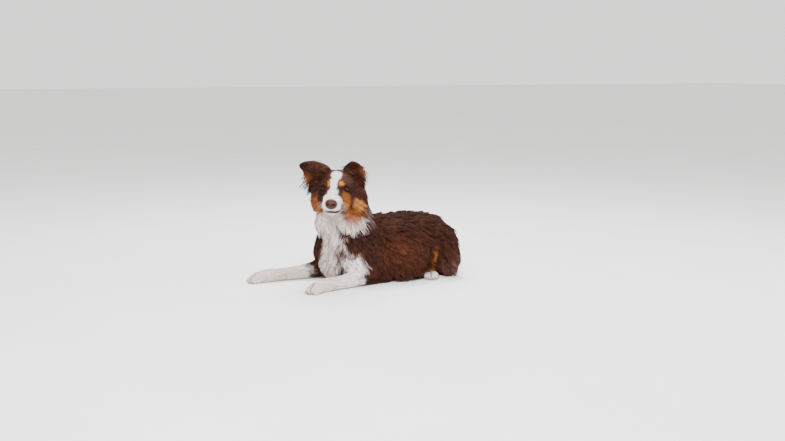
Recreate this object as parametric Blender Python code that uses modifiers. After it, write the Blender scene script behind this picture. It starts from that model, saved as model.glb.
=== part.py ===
"""A life-size model of a long-haired herding dog that lies on its chest with its head turned.

Frame: -X is the way the chest faces, -Y the dog's left side, +Z up, and the floor is z = 0.
The body is modelled whole, as lofts and ellipsoids blended by a voxel remesh, out to the tips
of the coat. Thin cuts then part it into the nodes that a person would name.
"""

import math

import bmesh
import bpy
import numpy as np
from mathutils import Matrix, Vector

# Driving dimensions, in metres.
GAP = 0.0004  # between neighbouring pieces
CUT_MARGIN = 0.004  # how far a limb's cutter stands outside the limb's own loft
RING = 20  # points round a loft's section
BODY_VOXEL = 0.0055
HEAD_VOXEL = 0.0030
PAW_VOXEL = 0.0022
CUTTER_VOXEL = 0.0060

BACK = 0.211  # height of the coat along the back
HALF_GIRTH = 0.106  # half the width of the chest with its coat
EYE_SPACING = 0.0655
EYE_RADIUS = 0.0108
EYE_SPLAY = math.radians(20)  # how far each eye looks outwards
MUZZLE_TIP = 0.098  # from between the eyes to the end of the nose
TOE_SPREAD = 0.0125  # from one toe's middle to the next
TOE_RADIUS = 0.0095
CLAW_LENGTH = 0.0105
CLAW_RADIUS = 0.0027
EAR_ROWS = 8
EAR_COLUMNS = 6
EAR_CUP = 0.016  # how far the ear's middle stands behind its edges
EAR_FOLD = 0.10

# Triangles that each blend is thinned to before it is cut.
BODY_TRIANGLES = 1450
HEAD_TRIANGLES = 1000
PAW_TRIANGLES = 220
EAR_TRIANGLES = 150
CUTTER_TRIANGLES = 84
FLAT_ANGLE = math.radians(1.2)  # faces that meet flatter than this are joined

# The head's frame: its origin is midway between the eyes, +X forward, +Y to its left, +Z up.
HEAD_CENTRE = Vector((-0.1908, -0.0748, 0.3034))
HEAD_HEADING = math.radians(-120.7)  # direction of the muzzle, from +X
HEAD_PITCH = math.radians(3.0)  # nose down
HEAD_TILT = math.radians(-2.0)

COLOURS = {
    "brown_coat": (0.105, 0.034, 0.018),
    "white_coat": (0.78, 0.72, 0.70),
    "nose_leather": (0.17, 0.075, 0.070),
    "eye": (0.10, 0.055, 0.020),
    "claw": (0.30, 0.22, 0.17),
}
ROUGHNESS = {"brown_coat": 0.6, "white_coat": 0.6, "nose_leather": 0.4, "eye": 0.05, "claw": 0.35}


# ---------------------------------------------------------------- Blender helpers


def clear_scene():
    for obj in list(bpy.data.objects):
        bpy.data.objects.remove(obj)


def material(slot):
    """The slot's plain material, made on first use."""
    found = bpy.data.materials.get(slot)
    if found:
        return found
    made = bpy.data.materials.new(slot)
    made.use_nodes = True
    shader = made.node_tree.nodes["Principled BSDF"]
    shader.inputs["Base Color"].default_value = (*COLOURS[slot], 1.0)
    shader.inputs["Roughness"].default_value = ROUGHNESS[slot]
    shader.inputs["Metallic"].default_value = 0.0
    return made


def collection(name):
    made = bpy.data.collections.new(name)
    bpy.context.scene.collection.children.link(made)
    return made


def helper_from_bmesh(bm, name="helper"):
    """A hidden object that holds bm's faces."""
    bmesh.ops.recalc_face_normals(bm, faces=bm.faces)
    if bm.calc_volume(signed=True) < 0:
        bmesh.ops.reverse_faces(bm, faces=bm.faces)
    mesh = bpy.data.meshes.new(name)
    bm.to_mesh(mesh)
    bm.free()
    return helper_from_mesh(mesh, name)


def helper_from_mesh(mesh, name="helper"):
    obj = bpy.data.objects.new(name, mesh)
    obj.hide_render = True
    obj.display_type = "WIRE"
    bpy.data.collections["cutters"].objects.link(obj)
    return obj


def evaluated_mesh(obj):
    """The object's mesh with its modifiers applied."""
    bpy.context.view_layer.update()
    graph = bpy.context.evaluated_depsgraph_get()
    return bpy.data.meshes.new_from_object(obj.evaluated_get(graph))


def with_modifiers(obj, *steps):
    """A new helper: obj's mesh after these modifiers, each (type, {setting: value})."""
    for kind, settings in steps:
        modifier = obj.modifiers.new(kind.title(), kind)
        for key, value in settings.items():
            setattr(modifier, key, value)
    mesh = evaluated_mesh(obj)
    obj.modifiers.clear()
    return helper_from_mesh(mesh, obj.name)


def cut(obj, cutter, operation="DIFFERENCE"):
    """A new helper: the Boolean of obj with cutter, its largest body only."""
    made = with_modifiers(
        obj, ("BOOLEAN", {"object": cutter, "operation": operation, "solver": "EXACT"})
    )
    keep_largest(made.data)
    return made


def keep_largest(mesh):
    """Drops the crumbs that a cut leaves beside the largest body."""
    bm = bmesh.new()
    bm.from_mesh(mesh)
    unseen = set(bm.verts)
    islands = []
    while unseen:
        island, edge_of = set(), [unseen.pop()]
        while edge_of:
            vert = edge_of.pop()
            island.add(vert)
            for edge in vert.link_edges:
                other = edge.other_vert(vert)
                if other in unseen:
                    unseen.remove(other)
                    edge_of.append(other)
        islands.append(island)
    islands.sort(key=len, reverse=True)
    for island in islands[1:]:
        bmesh.ops.delete(bm, geom=list(island), context="VERTS")
    bmesh.ops.triangulate(bm, faces=bm.faces)
    bm.to_mesh(mesh)
    bm.free()


# ---------------------------------------------------------------- shapes


def smooth_through(rows, steps=4):
    """Catmull-Rom through the rows, each a tuple of numbers: steps spans for each given one."""
    rows = np.array(rows, float)
    padded = np.vstack([2 * rows[0] - rows[1], rows, 2 * rows[-1] - rows[-2]])
    made = []
    for i in range(1, len(padded) - 2):
        a, b, c, d = padded[i - 1 : i + 3]
        for t in np.arange(steps) / steps:
            made.append(
                0.5
                * (2 * b + (c - a) * t + (2 * a - 5 * b + 4 * c - d) * t**2
                   + (3 * b - a - 3 * c + d) * t**3)
            )
    return np.array([*made, rows[-1]])


def loft(rows, side=(0, 1, 0), frame=None, margin=0.0, steps=4, points=RING):
    """A closed tube through elliptical sections.

    rows holds (x, y, z, half width, reach up, reach down) for each section. The width lies
    along side, and margin grows every reach and both ends.
    """
    rows = smooth_through(rows, steps)
    rows[:, 3:] = np.maximum(rows[:, 3:], 0.0004) + margin
    centres = [Vector(row[:3]) for row in rows]
    bm = bmesh.new()
    rings = []
    for i, row in enumerate(rows):
        along = (centres[min(i + 1, len(rows) - 1)] - centres[max(i - 1, 0)]).normalized()
        wide = (Vector(side) - along * along.dot(Vector(side))).normalized()
        tall = along.cross(wide)
        if tall.z < -1e-6:
            tall.negate()
        centre = centres[i]
        if i in (0, len(rows) - 1):
            centre = centre + along * (margin if i else -margin)
        ring = []
        for k in range(points):
            angle = 2 * math.pi * k / points
            reach = row[4] if math.sin(angle) > 0 else row[5]
            point = centre + wide * (row[3] * math.cos(angle)) + tall * (reach * math.sin(angle))
            ring.append(bm.verts.new(point))
        rings.append(ring)
    for lower, upper in zip(rings, rings[1:]):
        for k in range(points):
            nxt = (k + 1) % points
            bm.faces.new((lower[k], lower[nxt], upper[nxt], upper[k]))
    bm.faces.new(rings[0][::-1])
    bm.faces.new(rings[-1])
    if frame is not None:
        bm.transform(frame)
    return helper_from_bmesh(bm, "loft")


def beads(rows, margin=0.0, steps=4):
    """Overlapping balls through the rows, (x, y, z, radius) each, for a limb that bends sharply."""
    shapes = []
    for x, y, z, radius in smooth_through(rows, steps):
        shapes.append(ellipsoid((x, y, z), [radius + margin] * 3, points=14))
    return shapes


def ellipsoid(centre, radii, frame=None, margin=0.0, points=18):
    """An ellipsoid with these half axes."""
    bm = bmesh.new()
    bmesh.ops.create_uvsphere(bm, u_segments=points, v_segments=points * 5 // 9, radius=1.0)
    shape = Matrix.Diagonal((*(r + margin for r in radii), 1.0))
    place = Matrix.Translation(centre) @ shape
    bm.transform((frame or Matrix.Identity(4)) @ place)
    return helper_from_bmesh(bm, "ellipsoid")


def box(low, high, frame=None):
    """A cutter from its two corners, in the given frame."""
    bm = bmesh.new()
    bmesh.ops.create_cube(bm, size=1.0)
    low, high = Vector(low), Vector(high)
    place = Matrix.Translation((low + high) / 2) @ Matrix.Diagonal((*(high - low), 1.0))
    bm.transform((frame or Matrix.Identity(4)) @ place)
    return helper_from_bmesh(bm, "box")


def beyond(point, normal, start=0.0, reach=0.6):
    """A large block on the far side of a plane, its near face start past the point."""
    normal = Vector(normal).normalized()
    frame = Matrix.Translation(point) @ normal.to_track_quat("X", "Z").to_matrix().to_4x4()
    return box((start, -reach, -reach), (start + reach, reach, reach), frame)


def smooth_union(shapes, voxel, rounds, triangles):
    """One smooth closed helper round all the shapes."""
    bm = bmesh.new()
    for shape in shapes:
        bm.from_mesh(shape.data)
    joined = helper_from_bmesh(bm, "union")
    full = with_modifiers(
        joined,
        ("REMESH", {"mode": "VOXEL", "voxel_size": voxel, "adaptivity": 0.0}),
        ("SMOOTH", {"factor": 0.5, "iterations": rounds}),
    )
    keep_largest(full.data)
    ratio = min(1.0, triangles / len(full.data.polygons))
    return with_modifiers(full, ("DECIMATE", {"ratio": ratio, "use_collapse_triangulate": True}))


def blend(shapes, voxel, rounds, triangles):
    """A smooth union, cut flat at the floor."""
    return cut(smooth_union(shapes, voxel, rounds, triangles), box((-1, -1, -1), (1, 1, 0)))


def grown(obj, margin=GAP):
    """A helper that stands margin outside obj all round."""
    return with_modifiers(obj, ("DISPLACE", {"strength": margin, "mid_level": 0.0}))


def parted(whole, inner, outer):
    """(what of whole is inside the cutter inner, what is outside the slightly larger outer)."""
    return cut(whole, inner, "INTERSECT"), cut(whole, outer)


def parted_at(whole, point, normal):
    """(the side of the plane that its normal points to, the other side), GAP apart."""
    return parted(whole, beyond(point, normal, GAP / 2), beyond(point, normal, -GAP / 2))


def parted_by(whole, shapes):
    """Parts whole along the surface of these shapes' smooth union."""
    cutter = smooth_union(shapes, CUTTER_VOXEL, 2, CUTTER_TRIANGLES)
    return parted(whole, cutter, grown(cutter))


def node(name, helper, slot):
    """Shows a helper's mesh as the node of this name."""
    bm = bmesh.new()
    bm.from_mesh(helper.data)
    bmesh.ops.remove_doubles(bm, verts=bm.verts, dist=1e-6)
    bmesh.ops.dissolve_limit(
        bm, angle_limit=FLAT_ANGLE, verts=bm.verts, edges=bm.edges, use_dissolve_boundaries=False
    )
    bmesh.ops.triangulate(bm, faces=bm.faces)
    mesh = bpy.data.meshes.new(name)
    bm.to_mesh(mesh)
    bm.free()
    mesh.materials.append(material(slot))
    mesh.shade_smooth()
    mesh.set_sharp_from_angle(angle=math.radians(40))
    obj = bpy.data.objects.new(name, mesh)
    bpy.data.collections["dog"].objects.link(obj)
    return obj


# ---------------------------------------------------------------- trunk, neck, limbs
# A section is (x, y, z of its middle, half width, reach up, reach down).

TRUNK = [
    (-0.202, 0.010, 0.112, 0.034, 0.045, 0.050),
    (-0.184, 0.008, 0.108, 0.066, 0.078, 0.094),
    (-0.140, 0.004, 0.105, 0.090, 0.095, 0.108),
    (-0.080, 0.000, 0.103, HALF_GIRTH, BACK - 0.103, 0.106),
    (0.010, 0.000, 0.102, HALF_GIRTH, BACK - 0.102, 0.105),
    (0.090, 0.004, 0.102, 0.103, BACK - 0.100, 0.105),
    (0.150, 0.006, 0.100, 0.099, BACK - 0.106, 0.104),
    (0.192, 0.008, 0.096, 0.086, 0.095, 0.099),
    (0.221, 0.008, 0.094, 0.062, 0.077, 0.080),
    (0.238, 0.008, 0.094, 0.030, 0.042, 0.040),
]
NECK = [
    (-0.045, 0.000, 0.120, 0.088, 0.070, 0.080),
    (-0.092, 0.000, 0.165, 0.094, 0.066, 0.100),
    (-0.124, -0.004, 0.215, 0.090, 0.074, 0.094),
    (-0.140, -0.012, 0.262, 0.082, 0.080, 0.076),
    (-0.150, -0.024, 0.304, 0.064, 0.070, 0.056),
]
RUFF = [
    (-0.140, 0.005, 0.195, 0.072, 0.050, 0.050),
    (-0.182, -0.004, 0.190, 0.072, 0.050, 0.054),
    (-0.208, -0.010, 0.182, 0.052, 0.040, 0.050),
]
UPPER_ARM = {
    "l": [
        (-0.168, -0.056, 0.135, 0.022, 0.035, 0.035),
        (-0.145, -0.066, 0.122, 0.036, 0.060, 0.062),
        (-0.080, -0.078, 0.088, 0.038, 0.062, 0.070),
        (-0.015, -0.072, 0.050, 0.032, 0.036, 0.050),
        (0.014, -0.068, 0.038, 0.020, 0.020, 0.030),
    ],
    "r": [
        (-0.190, 0.062, 0.130, 0.022, 0.035, 0.035),
        (-0.172, 0.070, 0.120, 0.034, 0.060, 0.062),
        (-0.130, 0.082, 0.088, 0.036, 0.060, 0.068),
        (-0.088, 0.086, 0.048, 0.030, 0.036, 0.050),
        (-0.064, 0.086, 0.038, 0.018, 0.020, 0.030),
    ],
}
ELBOW = {"l": Vector((-0.016, -0.066, 0.0)), "r": Vector((-0.095, 0.084, 0.0))}
FOREPAW = {"l": Vector((-0.276, -0.121, 0.0)), "r": Vector((-0.383, 0.100, 0.0))}
THIGH = {
    "l": [
        (0.150, -0.030, 0.095, 0.024, 0.050, 0.055),
        (0.132, -0.046, 0.095, 0.032, 0.066, 0.070),
        (0.092, -0.066, 0.094, 0.040, 0.078, 0.085),
        (0.045, -0.080, 0.084, 0.041, 0.072, 0.082),
        (0.002, -0.090, 0.068, 0.034, 0.050, 0.064),
        (-0.024, -0.092, 0.056, 0.020, 0.026, 0.034),
    ],
    "r": [
        (0.168, 0.040, 0.090, 0.024, 0.050, 0.055),
        (0.150, 0.060, 0.092, 0.032, 0.064, 0.070),
        (0.108, 0.078, 0.092, 0.040, 0.074, 0.084),
        (0.058, 0.092, 0.080, 0.040, 0.066, 0.078),
        (0.014, 0.102, 0.062, 0.033, 0.046, 0.060),
        (-0.012, 0.104, 0.050, 0.020, 0.026, 0.034),
    ],
}
SHANK = {
    "l": [
        (0.010, -0.088, 0.036, 0.020, 0.022, 0.034),
        (0.060, -0.078, 0.032, 0.026, 0.030, 0.036),
        (0.110, -0.052, 0.030, 0.024, 0.028, 0.033),
        (0.150, -0.030, 0.028, 0.019, 0.022, 0.030),
    ],
    "r": [
        (0.022, 0.104, 0.036, 0.020, 0.022, 0.036),
        (0.070, 0.100, 0.034, 0.026, 0.030, 0.036),
        (0.120, 0.092, 0.034, 0.025, 0.030, 0.036),
        (0.172, 0.084, 0.032, 0.020, 0.024, 0.034),
    ],
}
HOCK = {"l": Vector((0.160, -0.028, 0.0)), "r": Vector((0.172, 0.084, 0.0))}
HINDPAW = {"l": Vector((0.130, -0.084, 0.0)), "r": Vector((0.064, 0.146, 0.0))}
TAIL = [  # (x, y, z, radius)
    (0.150, 0.000, 0.140, 0.026),
    (0.176, -0.016, 0.148, 0.034),
    (0.194, -0.044, 0.134, 0.040),
    (0.197, -0.068, 0.105, 0.042),
    (0.197, -0.077, 0.068, 0.043),
    (0.200, -0.072, 0.038, 0.041),
    (0.214, -0.046, 0.034, 0.037),
    (0.232, -0.006, 0.029, 0.032),
    (0.239, 0.036, 0.022, 0.025),
    (0.232, 0.078, 0.012, 0.013),
]
NECK_BASE = (Vector((-0.130, 0.0, 0.180)), Vector((-0.34, 0.0, 0.94)))
HEAD_BASE = (Vector((-0.150, -0.016, 0.256)), Vector((-0.50, -0.42, 0.76)))
WRIST = 0.80  # share of the way from the elbow to the paw's middle
PASTERN = 0.45  # share of the way from the hock to the paw's middle
SIDES = {"l": 1, "r": -1}

SKULL = [
    (-0.118, 0, -0.004, 0.036, 0.028, 0.036),
    (-0.098, 0, -0.002, 0.053, 0.044, 0.052),
    (-0.060, 0, -0.002, 0.060, 0.054, 0.060),
    (-0.025, 0, -0.005, 0.057, 0.046, 0.056),
    (0.004, 0, -0.013, 0.044, 0.030, 0.046),
    (0.030, 0, -0.023, 0.033, 0.023, 0.035),
    (0.060, 0, -0.030, 0.028, 0.020, 0.028),
    (0.080, 0, -0.033, 0.025, 0.018, 0.022),
    (0.090, 0, -0.034, 0.017, 0.013, 0.016),
]
JAW = [
    (-0.060, 0, -0.052, 0.040, 0.020, 0.022),
    (-0.010, 0, -0.056, 0.032, 0.016, 0.016),
    (0.035, 0, -0.059, 0.023, 0.012, 0.012),
    (0.066, 0, -0.059, 0.018, 0.010, 0.011),
    (0.080, 0, -0.057, 0.011, 0.007, 0.008),
]
LIP_FRONT = Vector((0.085, 0.0, -0.0545))
LIP_CORNER = Vector((0.016, 0.0, -0.0600))
# An ear's base runs from its inner edge to its outer edge, and its tip stands off the skull.
EAR = {
    "l": {
        "inner": (-0.048, 0.020, 0.048),
        "outer": (-0.074, 0.078, -0.016),
        "tip": (-0.046, 0.064, 0.074),
    },
    "r": {
        "inner": (-0.048, -0.020, 0.048),
        "outer": (-0.074, -0.078, -0.022),
        "tip": (-0.040, -0.113, 0.070),
    },
}
CHEEK = {"l": 0.046, "r": 0.055}  # how far out the ruff of each cheek stands
EAR_THICKNESS = 0.008


def along(start, end, sections):
    """Sections on a straight line near the floor, each (share of the way, z, three reaches)."""
    rows = []
    for share, z, *reaches in sections:
        middle = start.lerp(end, share)
        rows.append((middle.x, middle.y, z, *reaches))
    return rows


def across(start, end):
    """The level direction at right angles to the way from start to end."""
    return Vector((0, 0, 1)).cross(end - start).normalized()


def forearm_rows(side, end=1.02):
    sections = [
        (-0.06, 0.034, 0.018, 0.022, 0.030),
        (0.06, 0.034, 0.027, 0.030, 0.037),
        (0.25, 0.032, 0.026, 0.028, 0.035),
        (0.48, 0.027, 0.021, 0.022, 0.030),
        (0.70, 0.023, 0.019, 0.019, 0.026),
        (0.88, 0.022, 0.020, 0.018, 0.025),
        (1.02, 0.020, 0.021, 0.015, 0.023),
    ]
    return along(ELBOW[side], FOREPAW[side], [row for row in sections if row[0] <= end])


def hind_foot_rows(side, end=1.02):
    sections = [
        (-0.14, 0.030, 0.012, 0.016, 0.026),
        (0.08, 0.029, 0.018, 0.022, 0.032),
        (0.45, 0.023, 0.017, 0.018, 0.026),
        (0.80, 0.020, 0.018, 0.016, 0.023),
        (1.02, 0.018, 0.019, 0.014, 0.021),
    ]
    return along(HOCK[side], HINDPAW[side], [row for row in sections if row[0] <= end])


def paw_frame(toes, heel):
    """The paw's own frame: origin on the floor behind the toes, +X the way they point."""
    return Matrix.Translation(toes) @ (toes - heel).to_track_quat("X", "Z").to_matrix().to_4x4()


def toes_of(size):
    """(forward, across, size) of a paw's four toes; the middle two reach further."""
    for k in (-1.5, -0.5, 0.5, 1.5):
        inner = abs(k) < 1
        yield (0.016 if inner else 0.007) * size, k * TOE_SPREAD * size, (1.0 if inner else 0.9) * size


def paw_shapes(frame, size):
    """A pad and four toes."""
    shapes = [ellipsoid((-0.006, 0, 0.014), (0.024 * size, 0.024 * size, 0.017), frame)]
    for forward, aside, share in toes_of(size):
        reach = TOE_RADIUS * share
        radii = (reach * 1.75, reach * 0.84, reach * 1.18)
        shapes.append(ellipsoid((forward, aside, reach), radii, frame))
    return shapes


def claw(frame, forward, aside, share):
    """A claw that curves down from a toe's end."""
    rows = []
    for t in (0.0, 0.55, 1.0):
        thick = CLAW_RADIUS * (1 - 0.78 * t * t)
        height = 0.0100 * share - 0.0068 * t * t
        rows.append((forward + TOE_RADIUS * share * 1.25 + CLAW_LENGTH * t, aside, height, *[thick] * 3))
    return loft(rows, frame=frame, steps=1, points=6)


def foot(name, rows, heel, toes, split, size):
    """Makes a paw's node and its claws, cut off its leg at this share; gives the paw grown."""
    frame = paw_frame(toes, heel)
    shapes = [loft(rows, side=across(heel, toes)), *paw_shapes(frame, size)]
    whole = blend(shapes, PAW_VOXEL, 4, PAW_TRIANGLES)
    paw, _ = parted_at(whole, heel.lerp(toes, split), toes - heel)
    solid = grown(paw)
    for number, toe in enumerate(toes_of(size), 1):
        nail = claw(frame, *toe)
        paw = cut(paw, grown(nail))
        node(f"{name}_claw_{number}", cut(nail, beyond((0, 0, 0.0006), (0, 0, -1))), "claw")
    node(name, paw, "white_coat")
    return solid


def head_frame():
    heading = Matrix.Rotation(HEAD_HEADING, 4, "Z")
    nod = Matrix.Rotation(HEAD_PITCH, 4, "Y")
    tilt = Matrix.Rotation(HEAD_TILT, 4, "X")
    return Matrix.Translation(HEAD_CENTRE) @ heading @ nod @ tilt


def head_shapes(frame):
    """Skull, jaw, and for both sides the cheeks, the brows and the lips."""
    shapes = [loft(SKULL, frame=frame), loft(JAW, frame=frame)]
    for side, s in SIDES.items():
        shapes += [
            ellipsoid((-0.028, s * 0.036, -0.034), (0.044, 0.028, 0.036), frame),
            ellipsoid((-0.062, s * CHEEK[side], -0.036), (0.034, 0.030, 0.056), frame),
            ellipsoid((-0.003, s * 0.026, 0.011), (0.017, 0.018, 0.010), frame),
            ellipsoid((0.063, s * 0.014, -0.040), (0.029, 0.0165, 0.0175), frame),
            ellipsoid((0.034, s * 0.019, -0.044), (0.034, 0.0145, 0.0160), frame),
        ]
    return shapes


def leaf(frame, inner, outer, tip):
    """An ear: a cupped leaf between its base's two ends and its tip, with a thickness."""
    inner, outer, tip = Vector(inner), Vector(outer), Vector(tip)
    middle = (inner + outer) / 2
    spine = tip - middle
    back = spine.cross(outer - inner).normalized()
    if back.x > 0:
        back.negate()
    bm = bmesh.new()
    rows = []
    for i in range(EAR_ROWS + 1):
        t = i / EAR_ROWS
        width = (1 - t) ** 0.8 * (1 + 0.9 * t) + 0.04
        row = []
        for j in range(EAR_COLUMNS + 1):
            a = 2 * j / EAR_COLUMNS - 1
            reach = a * width * (1 - 0.45 * t if a > 0 else 1)
            cup = back * (EAR_CUP * (1 - a * a) * (1 - 0.7 * t))
            bend = back * (-EAR_FOLD * max(0.0, t - 0.55) ** 2)
            point = middle + spine * t + (outer - inner) / 2 * reach + cup + bend
            row.append(bm.verts.new(point))
        rows.append(row)
    for low, high in zip(rows, rows[1:]):
        for j in range(EAR_COLUMNS):
            bm.faces.new((low[j], low[j + 1], high[j + 1], high[j]))
    bm.transform(frame)
    sheet = helper_from_bmesh(bm, "ear")
    solid = with_modifiers(sheet, ("SOLIDIFY", {"thickness": EAR_THICKNESS, "offset": 0.0}))
    return blend([solid], 0.0026, 3, EAR_TRIANGLES)


def make_head(frame):
    """Makes the nodes of the head, and gives the head grown, for others to keep clear of."""
    whole = blend([*head_shapes(frame), loft(NECK)], HEAD_VOXEL, 5, HEAD_TRIANGLES)
    head, _ = parted_at(whole, *HEAD_BASE)
    solid = grown(head)
    for side, s in SIDES.items():
        ear = cut(leaf(frame, **EAR[side]), solid)
        node(f"ear_{side}", ear, "brown_coat")
        socket = frame @ Matrix.Translation((0.004, s * EYE_SPACING / 2, 0))
        socket = socket @ Matrix.Rotation(s * EYE_SPLAY, 4, "Z")
        eye = ellipsoid((0, 0, 0), [EYE_RADIUS] * 3, socket, points=12)
        lids = ellipsoid((0.009, 0, 0), (0.010, 0.0096, 0.0062), socket, points=12)
        head = cut(cut(head, lids), grown(eye))
        node(f"eye_{side}", eye, "eye")
    leather = ellipsoid((MUZZLE_TIP - 0.011, 0, -0.031), (0.013, 0.0195, 0.0148), frame, points=12)
    head = cut(head, grown(leather))
    for s in SIDES.values():
        hole = ellipsoid((MUZZLE_TIP - 0.002, s * 0.0075, -0.033), (0.005, 0.0032, 0.0030), frame, points=8)
        leather = cut(leather, hole)
    node("nose", leather, "nose_leather")
    slope = (LIP_FRONT - LIP_CORNER).normalized()
    down = Vector((slope.z, 0, -slope.x))
    turn = frame.to_3x3()
    under = beyond(frame @ LIP_FRONT, turn @ down, GAP / 2)
    jaw = cut(cut(head, under, "INTERSECT"), beyond(frame @ LIP_CORNER, turn @ -slope), "DIFFERENCE")
    head = cut(head, cut(beyond(frame @ LIP_FRONT, turn @ down, -GAP / 2),
                         beyond(frame @ LIP_CORNER, turn @ -slope, GAP)))
    node("lower_jaw", jaw, "white_coat")
    node("head", head, "brown_coat")


# ---------------------------------------------------------------- the dog

clear_scene()
collection("cutters")
collection("dog")
head = head_frame()
make_head(head)

limbs = []
for side in SIDES:
    limbs += [loft(UPPER_ARM[side]), loft(THIGH[side]), loft(SHANK[side])]
    limbs.append(loft(forearm_rows(side, 0.9), side=across(ELBOW[side], FOREPAW[side])))
    limbs.append(loft(hind_foot_rows(side, 0.9), side=across(HOCK[side], HINDPAW[side])))
body = [loft(TRUNK), loft(NECK), loft(RUFF), *beads(TAIL), *head_shapes(head), *limbs]
rest = blend(body, BODY_VOXEL, 6, BODY_TRIANGLES)
_, rest = parted_at(rest, *HEAD_BASE)

for side in SIDES:
    fore = foot(f"forepaw_{side}", forearm_rows(side), ELBOW[side], FOREPAW[side], WRIST, 1.0)
    hind = foot(f"hindpaw_{side}", hind_foot_rows(side), HOCK[side], HINDPAW[side], PASTERN, 0.92)
    rest = cut(cut(rest, fore), hind)
tail, rest = parted_by(rest, beads(TAIL[2:], CUT_MARGIN))
node("tail", tail, "brown_coat")
for side in SIDES:
    forearm, rest = parted_by(rest, [loft(forearm_rows(side), margin=CUT_MARGIN)])
    upper_arm, rest = parted_by(rest, [loft(UPPER_ARM[side], margin=CUT_MARGIN)])
    shank, rest = parted_by(rest, [loft(SHANK[side], margin=CUT_MARGIN)])
    thigh, rest = parted_by(rest, [loft(THIGH[side], margin=CUT_MARGIN)])
    node(f"forearm_{side}", forearm, "white_coat")
    node(f"upper_arm_{side}", upper_arm, "brown_coat")
    node(f"shank_{side}", shank, "brown_coat")
    node(f"thigh_{side}", thigh, "brown_coat")
neck, trunk = parted_at(rest, *NECK_BASE)
node("neck", neck, "white_coat")
node("trunk", trunk, "brown_coat")

# The origin is the middle of the bounding box's foot.
nodes = list(bpy.data.collections["dog"].objects)
corners = np.array([tuple(vert.co) for obj in nodes for vert in obj.data.vertices])
low, high = corners.min(axis=0), corners.max(axis=0)
shift = Vector((-(low[0] + high[0]) / 2, -(low[1] + high[1]) / 2, -low[2]))
for obj in nodes:
    obj.data.transform(Matrix.Translation(shift))
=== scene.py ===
"""The looks of a life-size, long-haired herding dog that lies on its chest with its head turned.

One skin is blended from the frame's flesh nodes and drawn in by the coat's depth. The coat
stands on it: locks of hair, each a small closed mesh that follows the lie of the coat. Eyes,
lids, nose, lips, whiskers and claws are pieces of their own.

Frame: -X is the way the chest faces, -Y the dog's left side, +Z up, and the floor is z = 0.
"""

import itertools
import math

import bmesh
import bpy
import numpy as np
from mathutils import Matrix, Vector
from mathutils.bvhtree import BVHTree
from mathutils.kdtree import KDTree


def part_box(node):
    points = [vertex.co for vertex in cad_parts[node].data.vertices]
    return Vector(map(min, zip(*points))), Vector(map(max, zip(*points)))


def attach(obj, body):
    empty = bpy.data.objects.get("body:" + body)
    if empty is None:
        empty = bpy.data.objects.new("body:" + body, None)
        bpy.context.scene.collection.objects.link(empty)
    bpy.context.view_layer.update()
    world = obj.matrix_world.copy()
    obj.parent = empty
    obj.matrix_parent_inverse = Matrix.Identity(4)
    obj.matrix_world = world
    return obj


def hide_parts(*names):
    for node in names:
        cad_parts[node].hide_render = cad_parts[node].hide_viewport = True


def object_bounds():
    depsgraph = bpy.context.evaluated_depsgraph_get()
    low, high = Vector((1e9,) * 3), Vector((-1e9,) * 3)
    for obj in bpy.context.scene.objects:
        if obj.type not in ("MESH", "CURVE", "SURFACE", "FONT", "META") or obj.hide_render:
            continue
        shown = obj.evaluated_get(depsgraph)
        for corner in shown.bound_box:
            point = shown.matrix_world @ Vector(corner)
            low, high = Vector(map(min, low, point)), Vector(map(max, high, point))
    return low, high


# Driving values, in metres.
SKIN_VOXEL = 0.0022
SKIN_FACES = 90_000  # what the skin is thinned to at the end
DRAWING_IN_STEPS = 4  # the skin is drawn in by the coat's depth in these steps
CUT_CLOSING = 0.0003  # how far each flesh solid swells, to close the cuts between them
TOE_REACH = Vector((0.0150, 0.0070, 0.0120))  # half axes of a toe
TOE_CREASE_WIDTH = 0.0022
TOE_CREASE_DEPTH = 0.0100
LIP_CREASE_WIDTH = 0.0022
LIP_CREASE_DEPTH = 0.0035
LONG_LOCK = 0.020  # from this length on a lock has three spans, and two below it
LOCK_ARCH = 2.2  # how soon a lock rises to the coat's depth
LOCK_DROOP = 0.30  # how far a free lock's tip sinks, as a share of its length
TUFT_SIZE = 16  # locks whose tips are drawn together
TUFT_PULL = 0.020  # how far a tip can be drawn
TUFT_PATCH = 0.003  # a lock's share of its piece's bake map
SKIN_SHADE = 0.72  # the skin's colour as a share of the coat's
FLOOR_CLEARANCE = 0.0006
EYE_SPLAY = math.radians(17)  # how far each eye's lids open outwards
GAZE_SPLAY = math.radians(10)  # and how far each eye looks outwards
CORNEA_SWELL = 0.0006
LID_WIDE = math.radians(38)  # half of the lids' opening, seen from the eyeball's middle
LID_HIGH = math.radians(25)
LID_POWER = 1.65  # 2 would make the opening an ellipse, 1 a diamond
LID_TILT = math.radians(9)  # the outer corner stands higher
LID_REACH = math.radians(86)
MOUTH_POINTS = 41
MOUTH_REACH = math.radians(118)  # from the middle of the mouth to its corner
WHISKER_RADIUS = 0.00012
NOSE_HALF = (0.0126, 0.0174, 0.0142)
EYES = {"eye_l": 1, "eye_r": -1}  # each eye's side of the head, along the head's +Y
PAWS = ["forepaw_l", "forepaw_r", "hindpaw_l", "hindpaw_r"]
CLAWS = (1, 2, 3, 4)
WELD = 1e-6

# Places in the head's own frame, which head_frame describes.
NOSE_MIDDLE = (0.083, 0.0, -0.031)
LIP_FRONT = (0.081, 0.0, -0.0545)
LIP_CORNER = (0.012, 0.0, -0.0600)
LIP_FALL = (LIP_CORNER[2] - LIP_FRONT[2]) / (LIP_FRONT[0] - LIP_CORNER[0])

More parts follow.
